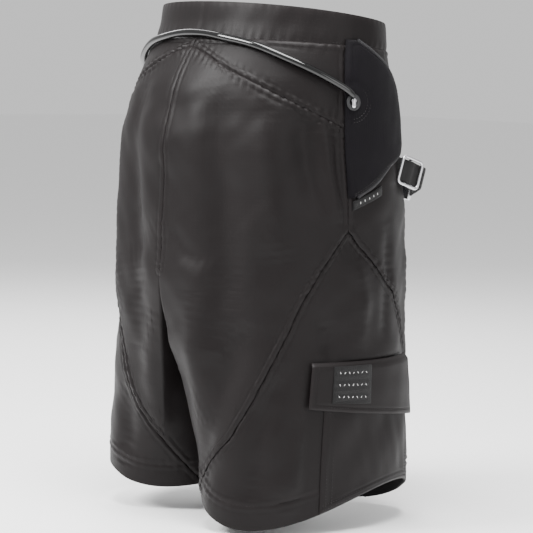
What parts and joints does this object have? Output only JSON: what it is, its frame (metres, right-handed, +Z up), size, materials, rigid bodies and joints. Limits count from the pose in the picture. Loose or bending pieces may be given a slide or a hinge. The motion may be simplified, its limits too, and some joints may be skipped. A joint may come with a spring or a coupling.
{
  "type": "harness shorts",
  "caption": "Padded board shorts with a built-in seat harness: side wings, rear leash rail, spreader bar and hook on two straps, leg pocket with a lifting flap.",
  "frame": {"origin": "centre of the waist opening", "axes": "+Z up out of the waist opening, -Y the wearer's front, +X the wearer's left"},
  "size_m": [0.3519, 0.3557, 0.574],
  "materials": {
    "shell_cloth": "satin microfibre with a fine ripstop grid",
    "lining": "matt lining",
    "neoprene": "matt knit-faced neoprene",
    "binding": "ribbed tape",
    "webbing": "woven polyester webbing",
    "rail_sleeve": "smooth glossy sleeve",
    "rope": "braided rope core",
    "steel": "satin stainless steel",
    "moulded": "moulded nylon",
    "foam": "foam pad in stretch cloth",
    "label": null,
    "hook_tape": "hook-and-loop tape"
  },
  "bodies": {
    "root": {"waistband": "shell_cloth", "waistband_facing": "lining", "yoke_left": "shell_cloth", "yoke_right": "shell_cloth", "back_panel_left": "shell_cloth", "back_panel_right": "shell_cloth", "front_panel_left": "shell_cloth", "front_panel_right": "shell_cloth", "side_panel_left": "shell_cloth", "side_panel_right": "shell_cloth", "hem_facing_left": "lining", "hem_facing_right": "lining", "wing_left": "neoprene", "wing_right": "neoprene", "wing_binding_left": "binding", "wing_binding_right": "binding", "eyelet_left": "moulded", "eyelet_right": "moulded", "rail_tube": "rail_sleeve", "rail_core": "rope", "rail_end_left": "steel", "rail_end_right": "steel", "seat_pad": "foam", "back_pad": "foam", "hip_pad_left": "foam", "hip_pad_right": "foam", "leg_strap_left": "webbing", "leg_strap_right": "webbing", "leg_slider_left": "moulded", "leg_slider_right": "moulded", "pocket_bag": "shell_cloth", "pocket_hook_tape": "hook_tape", "side_tag": "label", "fly_tongue": "neoprene", "fly_hook_tape": "hook_tape"},
    "bar": {"strap_left": "webbing", "strap_right": "webbing", "spreader_bar": "steel", "hook": "steel", "bar_pad": "foam"},
    "buckle_left": {"buckle_left": "steel"},
    "buckle_right": {"buckle_right": "steel"},
    "flap": {"pocket_flap": "shell_cloth", "label_patch": "label", "pocket_loop_tape": "hook_tape"},
    "fly": {"fly_flap": "shell_cloth", "fly_loop_tape": "hook_tape"}
  },
  "joints": [
    {"name": "bar_swing", "type": "hinge", "parent": "root", "child": "bar", "pos_m": [0, -0.066, -0.166], "axis": [-1, 0, 0], "range_deg": [0, 14]},
    {"name": "buckle_left_slide", "type": "slide", "parent": "bar", "child": "buckle_left", "axis": [0, -0.9537, -0.3007], "range_m": [0, 0.003]},
    {"name": "buckle_right_slide", "type": "slide", "parent": "bar", "child": "buckle_right", "axis": [0, -0.9537, -0.3007], "range_m": [0, 0.003]},
    {"name": "flap_open", "type": "hinge", "parent": "root", "child": "flap", "pos_m": [-0.1776, -0.0206, -0.376], "axis": [-0.1154, 0.9933, 0], "range_deg": [0, 75]},
    {"name": "fly_open", "type": "hinge", "parent": "root", "child": "fly", "pos_m": [0.0265, -0.1088, -0.01], "axis": [0, 0.1344, 0.9909], "range_deg": [0, 65]}
  ]
}
